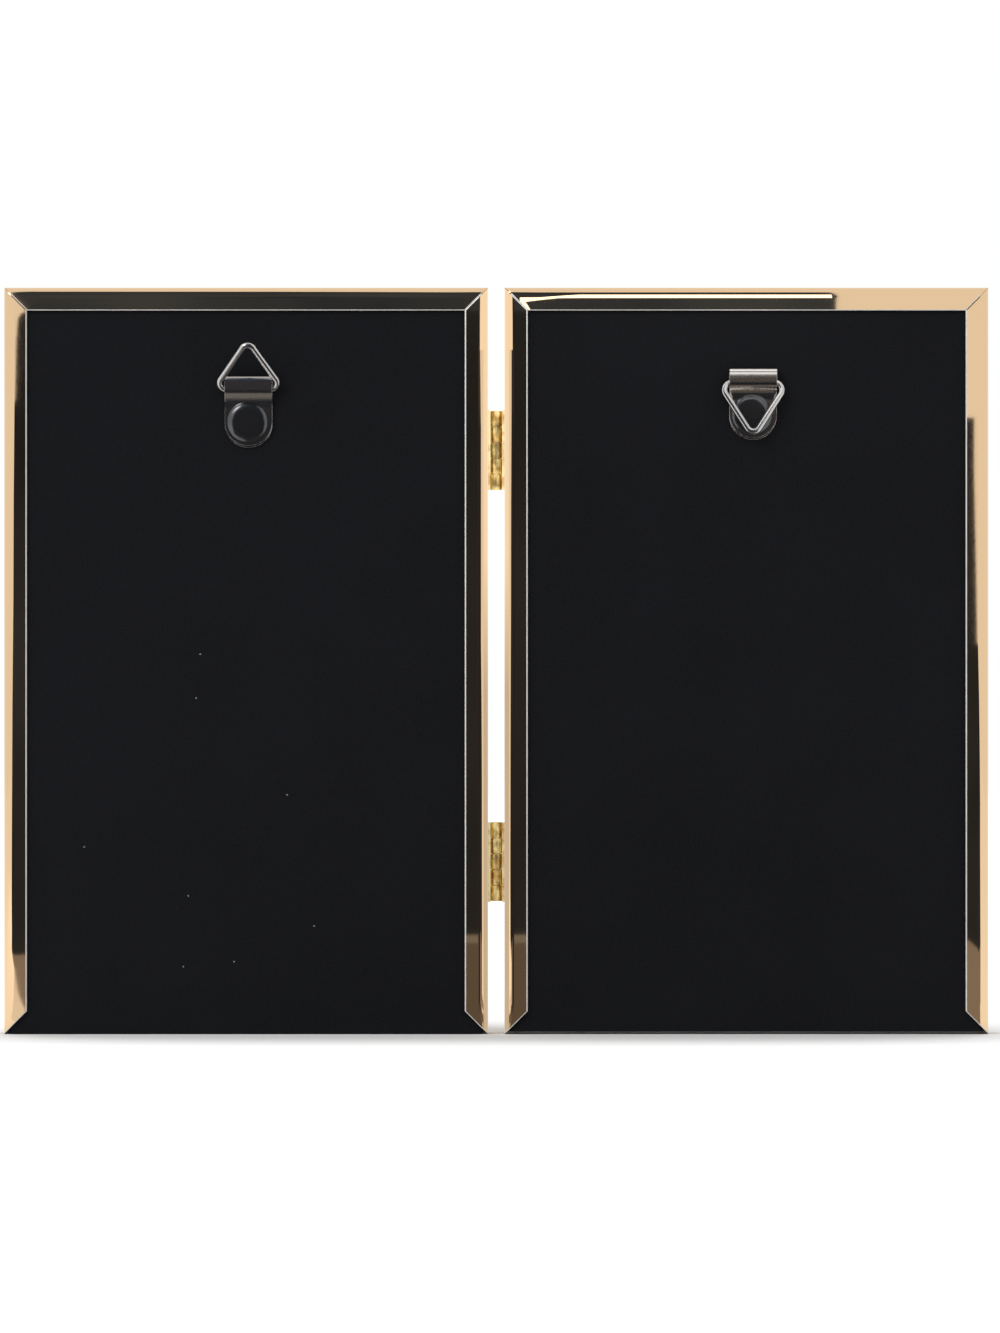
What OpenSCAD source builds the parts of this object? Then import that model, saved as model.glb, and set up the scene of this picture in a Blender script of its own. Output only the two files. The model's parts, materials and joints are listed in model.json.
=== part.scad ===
// Folding double picture frame, opened flat and standing upright.
// X runs from the left frame to the right one, Z is up and the glass faces +Y, so the backs and
// hangers face -Y. The origin is on the floor, at the middle of the whole frame's box.
// Each frame is drawn about its own middle, with Y = 0 on the plane of its rear flanges.

/* [Frames] */
// Outside width of one frame
frame_w = 106; // [80:0.5:180]
// Outside height of one frame
frame_h = 163.5; // [150:0.5:260]
// Gap between the two frames when they are opened flat
frame_gap = 3.6; // [3:0.1:6]

/* [Rail moulding] */
// Thickness of the sheet that the rails are folded from
sheet_t = 0.7; // [0.4:0.05:1.2]
// Width of the front face, from the outside edge to the picture
face_w = 6.5; // [5:0.1:14]
// How far the front face falls back from its outside edge to the picture
face_drop = 1.9; // [0.5:0.1:3]
// Width of the rear flange that holds the back board
flange_w = 5.1; // [4:0.1:10]
// Outside radius of the rounded edge at the rear
rear_edge_r = 2.4; // [1.6:0.1:3]
// Outside radius of the rounded edge at the front
front_edge_r = 1.2; // [0.9:0.1:2.5]

/* [Glass and picture] */
// Thickness of the glass
glass_t = 2; // [1:0.1:3]
// Thickness of the paper insert
insert_t = 0.25; // [0.1:0.05:1]
// Room round the glass and the insert inside the rails
pane_clear = 0.2; // [0.1:0.05:0.5]

/* [Back board] */
// Thickness of the fibreboard core
core_t = 3; // [2:0.1:6]
// Thickness of the flocked cover
cover_t = 0.3; // [0.2:0.05:0.6]
// How far the cover is turned in over the board's inner face
cover_turn = 8; // [4:0.5:20]
// Room between the board and the rear flanges
board_face_clear = 0.2; // [0.1:0.05:0.5]
// Room between the board and the photo insert
board_inner_clear = 0.15; // [0.1:0.05:0.5]
// Room on each side of the board inside the side rails
board_side_clear = 0.3; // [0.1:0.05:0.6]
// Height of the left board's lower edge above the floor
left_board_lift = 0; // [0:0.1:0.6]
// Height of the right board's lower edge above the floor, pushed up to its stop
right_board_lift = 0.6; // [0:0.1:0.8]
// Room above the right board at its stop
board_top_clear = 0.4; // [0.2:0.1:1]

/* [Hanger strap] */
// Width of the strap
strap_w = 10.4; // [8:0.1:11]
// Thickness of the strip that the strap is folded from
strap_t = 0.5; // [0.3:0.05:0.8]
// Length of the folded strap, from the fold to the round end
strap_len = 15.8; // [14:0.1:24]
// Distance from the fold to the ring's wire
strap_eye_drop = 3.2; // [2:0.1:3.4]
// Length of the straight part of the eye below the fold
strap_eye_len = 3.5; // [3:0.1:4]
// Length over which the front layer comes down onto the back layer
strap_ramp_len = 2; // [1:0.1:3]
// How much shorter the front layer is at the round end
strap_step = 0.4; // [0.2:0.05:1]

/* [Hanger ring] */
// Diameter of the ring's wire
wire_d = 1.4; // [0.8:0.1:1.6]
// Room round the wire in the strap's eye
wire_clear = 0.2; // [0.15:0.05:0.4]
// Outside width of the ring
ring_w = 14; // [13.5:0.1:20]
// Outside height of the ring
ring_h = 12.4; // [11.5:0.1:18]
// Radius of the wire's middle at the two lower corners
ring_corner_r = 1.75; // [1.2:0.05:2.5]
// Radius of the wire's middle at the tip
ring_tip_r = 1.5; // [1:0.05:2.5]
// How far the left ring leans out from its board
ring_up_lean = 31; // [10:1:80]
// Room left between the right ring and the rivet's head it lies on
ring_lie_clear = 0.1; // [0.05:0.05:0.4]

/* [Hanger rivet] */
// Diameter of the rivet's head
rivet_head_d = 8.8; // [6:0.1:9.4]
// Height of the head's flat middle
rivet_head_h = 0.8; // [0.5:0.05:1.2]
// Width of the rounded shoulder between the flat middle and the rim
rivet_shoulder_w = 1.6; // [1:0.1:2.2]
// Thickness of the head at its rim
rivet_rim_t = 0.15; // [0.1:0.05:0.3]
// Diameter of the shank
rivet_shank_d = 3; // [2:0.1:4]
// Diameter of the hole up the shank
rivet_hollow_d = 1.8; // [1:0.1:2.4]
// Diameter of the turned-over tail
rivet_tail_d = 5; // [4:0.1:7]
// Thickness of the turned-over tail
rivet_tail_t = 0.4; // [0.2:0.05:0.6]
// Room round the rivet in its holes
rivet_clear = 0.1; // [0.05:0.05:0.3]
// Distance from the strap's fold to the rivet
rivet_drop = 10.2; // [9:0.1:11]
// How far the rivet sits to the left of the strap's middle
rivet_off = 0.27; // [0:0.01:0.6]

/* [Hanger places] */
// How far the left strap's fold is below the top of the frame
left_fold_drop = 19.3; // [12:0.1:80]
// Left hanger's distance to the right of its frame's middle
left_hanger_x = 0.6; // [-5:0.1:5]
// How far the right strap's fold is below the top of the frame
right_fold_drop = 17.6; // [12:0.1:80]
// Right hanger's distance to the right of its frame's middle
right_hanger_x = 1.4; // [-5:0.1:5]

/* [Hinges] */
// Length of each hinge
hinge_len = 17.4; // [10:0.1:40]
// Height of the lower hinge's middle above the floor
lower_hinge_rise = 37.6; // [20:0.1:60]
// How far the upper hinge's middle is below the top of the frame
upper_hinge_drop = 35.5; // [20:0.1:60]
// Number of knuckles, shared by the two leaves
knuckles = 5; // [3:2:7]
// Thickness of the brass leaves
leaf_t = 0.55; // [0.4:0.05:0.8]
// Width of each leaf, from the pin to its edge
leaf_w = 6; // [4:0.1:7]
// Radius of the leaf's free corners
leaf_corner_r = 1; // [0.4:0.1:2]
// Gap between neighbouring knuckles
knuckle_gap = 0.12; // [0.05:0.01:0.3]
// Room between the pin and the knuckles
pin_clear = 0.05; // [0.02:0.01:0.1]
// Room between a leaf's notches and the other leaf's knuckles
notch_clear = 0.3; // [0.1:0.05:0.6]
// Gap left between the two front faces when the frames are closed
closed_gap = 0.5; // [0.2:0.1:1.5]
// Angle of the open seam where each knuckle's curl meets its leaf
curl_seam = 50; // [47:1:80]

/* [Hidden] */

$fn = 48;
overrun = 1;
gold = "#DDB98B";
nickel = "#B9B7B4";
brass = "#CDAE62";

// Depths inside a frame, counted from the plane of the rear flanges towards the front
face_slope = atan(face_drop / face_w);
cover_y = sheet_t + board_face_clear;
core_y = cover_y + cover_t;
board_inner_y = core_y + core_t + cover_t;
insert_y = board_inner_y + board_inner_clear;
glass_y = insert_y + insert_t;
pane_front_clear = pane_clear / 2;
sight_inner_y = glass_y + glass_t + pane_front_clear;
sheet_rise = sheet_t / cos(face_slope);
sight_y = sight_inner_y + sheet_rise;
frame_d = sight_y + face_drop;
front_top_y = frame_d - front_edge_r * (tan(face_slope) + 1 / cos(face_slope) - 1);

// Board and panes
board_w = frame_w - 2 * (sheet_t + board_side_clear);
board_h = frame_h - sheet_t - board_top_clear - right_board_lift;
board_edge_r = rear_edge_r - sheet_t - board_side_clear;
pane_w = frame_w - 2 * (sheet_t + pane_clear);
pane_h = frame_h - 2 * (sheet_t + pane_clear);

// Hinge
axis_y = front_top_y + closed_gap / 2;
knuckle_r = frame_gap / 2;
pin_r = knuckle_r - leaf_t - pin_clear;
knuckle_pitch = hinge_len / knuckles;

// Strap and ring, counted outwards from the board and upwards from the wire
eye_r = wire_d / 2 + wire_clear;
fold_r = eye_r + strap_t;
eye_n = strap_t + eye_r;
fold_centre_z = strap_eye_drop - fold_r;
ramp_top_z = strap_eye_drop - strap_eye_len;
ramp_end_z = ramp_top_z - strap_ramp_len;
strap_end_z = strap_eye_drop - strap_len + strap_w / 2;
rivet_z = strap_eye_drop - rivet_drop;
rivet_front_n = 2 * strap_t;
rivet_flat_r = rivet_head_d / 2 - rivet_shoulder_w;
shoulder_fall = rivet_head_h - rivet_rim_t;
rivet_shoulder_r = (pow(rivet_shoulder_w, 2) + pow(shoulder_fall, 2)) / (2 * shoulder_fall);
ring_corner_x = (ring_w - wire_d) / 2 - ring_corner_r;
ring_reach = ring_h - wire_d;
ring_tip_z = ring_reach - ring_tip_r;
ring_rise = ring_tip_z - ring_corner_r;
ring_span = norm([ring_corner_x, ring_rise]);
ring_lean = atan(ring_corner_x / ring_rise) + asin((ring_corner_r - ring_tip_r) / ring_span);
ring_leg_x = ring_corner_x + ring_corner_r * cos(ring_lean);
ring_leg_z = ring_corner_r * (1 + sin(ring_lean));
wire_weld = wire_d / 20;
bend_wire_share = 0.99; // the wire draws a little thinner where it is bent
bend_wire_r = bend_wire_share * wire_d / 2;
ring_leg_len = sqrt(pow(ring_span, 2) - pow(ring_corner_r - ring_tip_r, 2));

// The right ring lies on the top of the rivet's shoulder, where its leg first crosses it
lie_share = 0.25; // how far down the shoulder the ring's wire touches it
lie_r = rivet_flat_r + lie_share * rivet_shoulder_w;
lie_along = (ring_leg_x - rivet_off) * sin(ring_lean) + (-rivet_z - ring_leg_z) * cos(ring_lean);
lie_across = abs((ring_leg_x - rivet_off) * cos(ring_lean) - (-rivet_z - ring_leg_z) * sin(ring_lean));
lie_chord = sqrt(max(0, pow(lie_r, 2) - pow(lie_across, 2)));
lie_reach = ring_leg_z + (lie_along - lie_chord) * cos(ring_lean);
lie_height = rivet_front_n + rivet_head_h + wire_d / 2 + ring_lie_clear - eye_n;
ring_lie_lean = asin(min(1, lie_height / lie_reach));

// The whole box's middle in depth, from the left ring's tip to the knuckles
back_y = cover_y - eye_n - ring_reach * sin(ring_up_lean) - wire_d / 2;
front_y = axis_y + knuckle_r;
middle_y = (back_y + front_y) / 2;
frame_x = (frame_gap + frame_w) / 2;

// Heights of the hangers' folds and of the upper hinge above the floor
left_fold_z = frame_h - left_fold_drop;
right_fold_z = frame_h - right_fold_drop;
upper_hinge_z = frame_h - upper_hinge_drop;

module placed() { translate([0, -middle_y, 0]) children(); }
module in_left() { placed() translate([-frame_x, 0, 0]) children(); }
module in_right() { placed() translate([frame_x, 0, 0]) children(); }

// Section of the moulding: X runs in from the outside edge and Y from rear to front
module rail_outline(wall, edge_r, front_r, width) {
    face_at_wall = frame_d - (wall > 0 ? sheet_rise : 0) - wall * tan(face_slope);
    face_at_end = face_at_wall - (width - wall) * tan(face_slope);
    front_cy = face_at_wall - front_r * tan(face_slope) - front_r / cos(face_slope);
    polygon([
        [wall, wall + edge_r],
        [wall + edge_r, wall],
        [width, wall],
        [width, face_at_end],
        [wall + front_r * (1 + sin(face_slope)), front_cy + front_r * cos(face_slope)],
        [wall, front_cy]
    ]);
    translate([wall + edge_r, wall + edge_r]) circle(edge_r);
    translate([wall + front_r, front_cy]) circle(front_r);
}

module rail_section(has_flange) {
    difference() {
        rail_outline(0, rear_edge_r, front_edge_r, face_w);
        rail_outline(sheet_t, rear_edge_r - sheet_t, front_edge_r - sheet_t, face_w + overrun);
        if (has_flange)
            translate([flange_w, -overrun]) square([face_w, insert_y + overrun]);
        else
            translate([-overrun, -overrun]) square([face_w + 2 * overrun, insert_y + overrun]);
    }
}

module rail_bar(length, has_flange) {
    linear_extrude(height = length) rail_section(has_flange);
}

// A mitred slice of the frame, seen from the front: an outline in X and Z through its whole depth
module mitre(points) {
    translate([0, frame_d + overrun, 0]) rotate([90, 0, 0])
        linear_extrude(height = frame_d + 2 * overrun) polygon(points);
}

module left_side_rail() {
    color(gold) intersection() {
        translate([-frame_w / 2, 0, 0]) rail_bar(frame_h, true);
        mitre([
            [-frame_w / 2, 0],
            [-frame_w / 2 + face_w, face_w],
            [-frame_w / 2 + face_w, frame_h - face_w],
            [-frame_w / 2, frame_h]
        ]);
    }
}

module right_side_rail() { mirror([1, 0, 0]) left_side_rail(); }

module top_rail() {
    color(gold) intersection() {
        translate([-frame_w / 2, 0, frame_h]) rotate([0, 90, 0]) rail_bar(frame_w, true);
        mitre([
            [-frame_w / 2, frame_h],
            [-frame_w / 2 + face_w, frame_h - face_w],
            [frame_w / 2 - face_w, frame_h - face_w],
            [frame_w / 2, frame_h]
        ]);
    }
}

module bottom_rail() {
    color(gold) intersection() {
        translate([frame_w / 2, 0, 0]) rotate([0, -90, 0]) rail_bar(frame_w, false);
        mitre([
            [-frame_w / 2, 0],
            [frame_w / 2, 0],
            [frame_w / 2 - face_w, face_w],
            [-frame_w / 2 + face_w, face_w]
        ]);
    }
}

module pane(depth_y, thickness) {
    translate([-pane_w / 2, depth_y, sheet_t + pane_clear]) cube([pane_w, thickness, pane_h]);
}

module glass() { color("#DCE6E4", 0.35) pane(glass_y, glass_t); }

module photo_insert() { color("#EFECE4") pane(insert_y, insert_t); }

// The hole for the rivet, and the recess for its turned-over tail, through the board
module rivet_hole() {
    translate([0, cover_y, 0]) rotate([-90, 0, 0]) {
        translate([0, 0, -overrun])
            cylinder(r = rivet_shank_d / 2 + rivet_clear, h = core_t + 2 * cover_t + 2 * overrun);
        translate([0, 0, cover_t + core_t - rivet_tail_t - rivet_clear])
            cylinder(r = rivet_tail_d / 2 + rivet_clear, h = cover_t + rivet_tail_t + overrun);
    }
}

// What is cut off a square corner at 0, 0 to round it
module corner_waste(r) {
    difference() {
        translate([-overrun, -overrun]) square(r + overrun);
        translate([r, r]) circle(r);
    }
}

// The board's block, shrunk by inset, with its rear edges rounded at both sides and at the top
module board_block(lift, inset) {
    w = board_w - 2 * inset;
    h = board_h - 2 * inset;
    depth = core_t + 2 * cover_t - 2 * inset;
    edge_r = board_edge_r - inset;
    translate([-w / 2, cover_y + inset, lift + inset]) difference() {
        linear_extrude(height = h) difference() {
            square([w, depth]);
            corner_waste(edge_r);
            translate([w, 0]) mirror([1, 0]) corner_waste(edge_r);
        }
        translate([-overrun, 0, h]) rotate([0, 90, 0]) linear_extrude(height = w + 2 * overrun)
            corner_waste(edge_r);
    }
}

module back_board(lift, hanger_x, fold_z) {
    color("#8A7458") difference() {
        board_block(lift, cover_t);
        translate([hanger_x - rivet_off, 0, fold_z - rivet_drop]) rivet_hole();
    }
}

// The cover wraps the core: its face, its four edges and a turned-in strip all round inside
module board_cover(lift, hanger_x, fold_z) {
    color("#16171B") difference() {
        board_block(lift, 0);
        board_block(lift, cover_t);
        translate([-board_w / 2 + cover_turn, core_y + core_t / 2, lift + cover_turn])
            cube([board_w - 2 * cover_turn, core_t, board_h - 2 * cover_turn]);
        translate([hanger_x - rivet_off, 0, fold_z - rivet_drop]) rivet_hole();
    }
}

// Puts a hanger piece on the board: X across, Y inwards from the board's face, Z up from the wire
module on_board(hanger_x, fold_z) {
    translate([hanger_x, cover_y, fold_z - strap_eye_drop]) children();
}

// Side view of the strap: X outwards from the board and Y up
module strap_side(front_layer) {
    if (front_layer) {
        translate([strap_t + 2 * eye_r, ramp_top_z]) square([strap_t, fold_centre_z - ramp_top_z]);
        polygon([
            [strap_t + 2 * eye_r, ramp_top_z],
            [2 * fold_r, ramp_top_z],
            [2 * strap_t, ramp_end_z],
            [strap_t, ramp_end_z]
        ]);
        translate([strap_t, strap_end_z - strap_w / 2])
            square([strap_t, ramp_end_z - strap_end_z + strap_w / 2]);
    } else {
        translate([0, strap_end_z - strap_w / 2])
            square([strap_t, fold_centre_z - strap_end_z + strap_w / 2]);
    }
    translate([eye_n, fold_centre_z]) difference() {
        circle(fold_r);
        circle(eye_r);
        translate([-fold_r - overrun, -fold_r - overrun])
            square([2 * (fold_r + overrun), fold_r + overrun]);
    }
}

// One layer of the strap, cut to its round end
module strap_layer(front_layer, step) {
    intersection() {
        rotate([90, 0, -90]) linear_extrude(height = strap_w, center = true) strap_side(front_layer);
        translate([0, overrun, 0]) rotate([90, 0, 0]) linear_extrude(height = 2 * fold_r + 2 * overrun) {
            translate([0, strap_end_z + step]) circle(strap_w / 2);
            translate([-strap_w / 2, strap_end_z + step])
                square([strap_w, strap_eye_drop - strap_end_z]);
        }
    }
}

module hanger_strap() {
    color(nickel) difference() {
        union() {
            strap_layer(false, 0);
            strap_layer(true, strap_step);
        }
        translate([-rivet_off, overrun, rivet_z]) rotate([90, 0, 0])
            cylinder(r = rivet_shank_d / 2 + rivet_clear, h = rivet_front_n + 2 * overrun);
    }
}

// A bend of the ring's wire, in the ring's own plane
module wire_bend(centre, radius, from, to) {
    translate([centre[0], 0, centre[1]]) rotate([90, 0, 0]) rotate([0, 0, from])
        rotate_extrude(angle = to - from) translate([radius, 0]) circle(bend_wire_r);
}

// A straight length of the ring's wire, which runs a little into the bends at its ends
module wire_leg(length) {
    translate([0, 0, -wire_weld]) cylinder(r = wire_d / 2, h = length + 2 * wire_weld);
}

module ring_side() {
    wire_bend([ring_corner_x, ring_corner_r], ring_corner_r, -90, ring_lean);
    translate([ring_leg_x, 0, ring_leg_z]) rotate([0, -ring_lean, 0]) wire_leg(ring_leg_len);
}

// The ring stands on the wire that runs through the strap's eye, with its tip up
module ring() {
    color(nickel) {
        translate([-ring_corner_x, 0, 0]) rotate([0, 90, 0]) wire_leg(2 * ring_corner_x);
        ring_side();
        mirror([1, 0, 0]) ring_side();
        wire_bend([0, ring_tip_z], ring_tip_r, ring_lean, 180 - ring_lean);
    }
}

module hanger_ring(lean) {
    translate([0, -eye_n, 0]) rotate([lean, 0, 0]) ring();
}

// Half section of the rivet: X is the radius and Y is outwards from the board's face
module rivet_half() {
    tail_n = rivet_tail_t - core_t - cover_t;
    difference() {
        union() {
            translate([0, rivet_front_n]) intersection() {
                square([rivet_head_d / 2, rivet_head_h]);
                union() {
                    square([rivet_flat_r, rivet_head_h]);
                    translate([rivet_flat_r, rivet_head_h - rivet_shoulder_r])
                        circle(rivet_shoulder_r);
                }
            }
            translate([0, tail_n - rivet_tail_t])
                square([rivet_shank_d / 2, rivet_front_n - tail_n + rivet_tail_t]);
            translate([0, tail_n - rivet_tail_t]) square([rivet_tail_d / 2, rivet_tail_t]);
        }
        translate([0, tail_n - rivet_tail_t - overrun])
            square([rivet_hollow_d / 2, rivet_front_n - tail_n + rivet_tail_t + overrun]);
    }
}

module hanger_rivet() {
    color(nickel) translate([-rivet_off, 0, rivet_z]) rotate([90, 0, 0])
        rotate_extrude() rivet_half();
}

// Section of one rolled knuckle with the strip of leaf that it grows from; the pin is at 0, 0
module knuckle_section() {
    difference() {
        circle(knuckle_r);
        circle(pin_r + pin_clear);
        polygon([
            [0, 0],
            [-2 * knuckle_r, 0],
            [-2 * knuckle_r, -2 * knuckle_r * tan(curl_seam)]
        ]);
    }
    translate([-knuckle_r, -knuckle_r - notch_clear])
        square([leaf_t, knuckle_r + notch_clear]);
}

module leaf_plate() {
    difference() {
        translate([-knuckle_r, -leaf_w, 0])
            cube([leaf_t, leaf_w - knuckle_r - notch_clear, hinge_len]);
        for (end = [0, 1])
            translate([0, -leaf_w, end * hinge_len]) mirror([0, 0, end]) rotate([0, -90, 0])
                linear_extrude(height = 2 * knuckle_r) corner_waste(leaf_corner_r);
    }
}

// A left leaf with the knuckles numbered from first, every second one
module hinge_leaf(first) {
    color(brass) {
        leaf_plate();
        for (i = [first : 2 : knuckles - 1])
            translate([0, 0, i * knuckle_pitch + knuckle_gap / 2])
                linear_extrude(height = knuckle_pitch - knuckle_gap) knuckle_section();
    }
}

module at_hinge(height) {
    placed() translate([0, axis_y, height - hinge_len / 2]) children();
}

module hinge_left_leaf(height) { at_hinge(height) hinge_leaf(0); }

module hinge_right_leaf(height) { at_hinge(height) mirror([1, 0, 0]) hinge_leaf(1); }

module hinge_pin(height) {
    color(brass) at_hinge(height) cylinder(r = pin_r, h = hinge_len);
}

module left_top_rail() { in_left() top_rail(); }
module left_outer_rail() { in_left() left_side_rail(); }
module left_hinge_rail() { in_left() right_side_rail(); }
module left_bottom_rail() { in_left() bottom_rail(); }
module left_glass() { in_left() glass(); }
module left_photo_insert() { in_left() photo_insert(); }
module left_back_board() { in_left() back_board(left_board_lift, left_hanger_x, left_fold_z); }
module left_board_cover() { in_left() board_cover(left_board_lift, left_hanger_x, left_fold_z); }
module left_hanger_strap() { in_left() on_board(left_hanger_x, left_fold_z) hanger_strap(); }
module left_hanger_ring() { in_left() on_board(left_hanger_x, left_fold_z) hanger_ring(ring_up_lean); }
module left_hanger_rivet() { in_left() on_board(left_hanger_x, left_fold_z) hanger_rivet(); }

module right_top_rail() { in_right() top_rail(); }
module right_outer_rail() { in_right() right_side_rail(); }
module right_hinge_rail() { in_right() left_side_rail(); }
module right_bottom_rail() { in_right() bottom_rail(); }
module right_glass() { in_right() glass(); }
module right_photo_insert() { in_right() photo_insert(); }
module right_back_board() { in_right() back_board(right_board_lift, right_hanger_x, right_fold_z); }
module right_board_cover() { in_right() board_cover(right_board_lift, right_hanger_x, right_fold_z); }
module right_hanger_strap() { in_right() on_board(right_hanger_x, right_fold_z) hanger_strap(); }
module right_hanger_ring() {
    in_right() on_board(right_hanger_x, right_fold_z) hanger_ring(180 - ring_lie_lean);
}
module right_hanger_rivet() { in_right() on_board(right_hanger_x, right_fold_z) hanger_rivet(); }

module upper_hinge_left_leaf() { hinge_left_leaf(upper_hinge_z); }
module upper_hinge_right_leaf() { hinge_right_leaf(upper_hinge_z); }
module upper_hinge_pin() { hinge_pin(upper_hinge_z); }
module lower_hinge_left_leaf() { hinge_left_leaf(lower_hinge_rise); }
module lower_hinge_right_leaf() { hinge_right_leaf(lower_hinge_rise); }
module lower_hinge_pin() { hinge_pin(lower_hinge_rise); }

left_top_rail();
left_outer_rail();
left_hinge_rail();
left_bottom_rail();
left_glass();
left_photo_insert();
left_back_board();
left_board_cover();
left_hanger_strap();
left_hanger_ring();
left_hanger_rivet();
right_top_rail();
right_outer_rail();
right_hinge_rail();
right_bottom_rail();
right_glass();
right_photo_insert();
right_back_board();
right_board_cover();
right_hanger_strap();
right_hanger_ring();
right_hanger_rivet();
upper_hinge_left_leaf();
upper_hinge_right_leaf();
upper_hinge_pin();
lower_hinge_left_leaf();
lower_hinge_right_leaf();
lower_hinge_pin();
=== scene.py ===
import json
import math

import bmesh
import bpy
from mathutils import Matrix, Vector


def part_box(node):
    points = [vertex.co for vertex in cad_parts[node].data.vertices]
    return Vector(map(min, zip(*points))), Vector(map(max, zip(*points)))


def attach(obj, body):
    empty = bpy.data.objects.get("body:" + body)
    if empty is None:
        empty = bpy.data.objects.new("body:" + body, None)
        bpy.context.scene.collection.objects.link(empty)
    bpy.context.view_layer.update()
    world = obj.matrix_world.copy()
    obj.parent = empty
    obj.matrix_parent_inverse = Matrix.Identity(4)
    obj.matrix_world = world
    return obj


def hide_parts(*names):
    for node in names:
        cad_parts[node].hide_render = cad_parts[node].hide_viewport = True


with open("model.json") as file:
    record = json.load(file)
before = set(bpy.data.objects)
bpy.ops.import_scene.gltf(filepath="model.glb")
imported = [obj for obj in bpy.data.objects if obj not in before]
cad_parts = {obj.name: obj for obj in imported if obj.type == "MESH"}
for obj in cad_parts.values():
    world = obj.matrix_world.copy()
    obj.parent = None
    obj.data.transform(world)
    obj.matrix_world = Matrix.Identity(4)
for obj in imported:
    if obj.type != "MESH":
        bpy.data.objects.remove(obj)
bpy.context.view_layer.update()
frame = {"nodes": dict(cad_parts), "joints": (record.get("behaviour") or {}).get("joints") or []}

# Rails. Each frame is mitred from four lengths of thin brass-plated steel strip, folded into a
# hollow moulding: a rear flange with a soft fold, a side wall, and a front face that falls back
# to the picture. The mitres are soldered and ground flush, then the whole frame is polished.
mm = 0.001
touching = 0.01 * mm
sheet_t = 0.7 * mm
face_w = 6.5 * mm
face_drop = 1.9 * mm
flange_w = 5.1 * mm
rear_fold_r = 2.4 * mm
rear_fold_steps = 40
front_fold_r = 1.2 * mm
front_fold_steps = 10
lip_ease = 0.22 * mm
lip_steps = 3
cut_ease = 0.3 * mm
top_cut_ease = 0.2 * mm
cut_steps = 2
mitre_ease = 0.2 * mm
mitre_steps = 2
mitre_reach = 8 * mm
sharp_corner = math.radians(60)
shading_corner = math.radians(20)
# Slot of the pale steel finish for cut edges, which also paints their highlight lines.
highlight_and_bare_slot = 1


def linear(hex_code):
    """An sRGB hex colour as the linear colour that the sockets take."""
    levels = [int(hex_code[i:i + 2], 16) / 255 for i in (1, 3, 5)]
    return (*[v / 12.92 if v <= 0.04045 else ((v + 0.055) / 1.055) ** 2.4 for v in levels], 1)


def add(tree, kind, values=None, links=None, **settings):
    """Adds a node with its settings, its socket values and its links from other sockets."""
    node = tree.nodes.new(kind)
    for name, setting in settings.items():
        setattr(node, name, setting)
    for socket, value in (values or {}).items():
        node.inputs[socket].default_value = value
    for socket, source in (links or {}).items():
        tree.links.new(source, node.inputs[socket])
    return node


def new_finish(name, **values):
    """A material with one Principled shader, and the places on the object in metres."""
    finish = bpy.data.materials.new(name)
    finish.use_nodes = True
    tree = finish.node_tree
    shader = next(n for n in tree.nodes if n.type == "BSDF_PRINCIPLED")
    for socket, value in values.items():
        shader.inputs[socket.replace("_", " ")].default_value = value
    place = add(tree, "ShaderNodeTexCoord").outputs["Object"]
    return finish, tree, shader, place


def noise(tree, place, size, detail, roughness=0.5):
    """Cloudy noise over the object, with marks of about the given size."""
    values = {"Scale": 1 / size, "Detail": detail, "Roughness": roughness}
    return add(tree, "ShaderNodeTexNoise", values, {"Vector": place}).outputs["Fac"]


def level(tree, share, low, high, start=0.0, end=1.0):
    """A level that goes from low to high while the share goes from start to end."""
    values = {"From Min": start, "From Max": end, "To Min": low, "To Max": high}
    return add(tree, "ShaderNodeMapRange", values, {"Value": share}).outputs["Result"]


def between(tree, share, low_hex, high_hex):
    """A colour that goes from one to another with the share."""
    colours = {6: linear(low_hex), 7: linear(high_hex)}
    return add(tree, "ShaderNodeMix", colours, {0: share}, data_type="RGBA").outputs[2]


def relief(tree, height, depth, strength=1.0):
    """A bump in which the height counts for the given depth."""
    values = {"Strength": strength, "Distance": depth}
    return add(tree, "ShaderNodeBump", values, {"Height": height}).outputs["Normal"]


def connect(tree, shader, **sources):
    for socket, source in sources.items():
        tree.links.new(source, shader.inputs[socket.replace("_", " ")])


def near(value, target):
    return abs(value - target) < touching


def everything(bm):
    return bm.verts[:] + bm.edges[:] + bm.faces[:]


def only_edges(geom):
    return [g for g in geom if isinstance(g, bmesh.types.BMEdge)]


def edges_at(bm, test):
    return [e for e in bm.edges if all(test(v.co) for v in e.verts)]


def sharp_edges(bm):
    return [e for e in bm.edges if e.is_manifold and e.calc_face_angle() > sharp_corner]


def ease(bm, geom, offset, steps, affect="EDGES", clamp=False):
    """Rounds edges or corners off and returns the new faces."""
    eased = bmesh.ops.bevel(bm, geom=geom, affect=affect, segments=steps, profile=0.5,
                            offset=offset, material=-1, clamp_overlap=clamp)
    return eased["faces"]


def draw_out(bm, edges, vec):
    """Extrudes edges by vec and returns the edges at the far end."""
    drawn = bmesh.ops.extrude_edge_only(bm, edges=edges)["geom"]
    far = {g for g in drawn if isinstance(g, bmesh.types.BMVert)}
    bmesh.ops.translate(bm, verts=list(far), vec=vec)
    return [e for e in only_edges(drawn) if far.issuperset(e.verts)]


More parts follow.
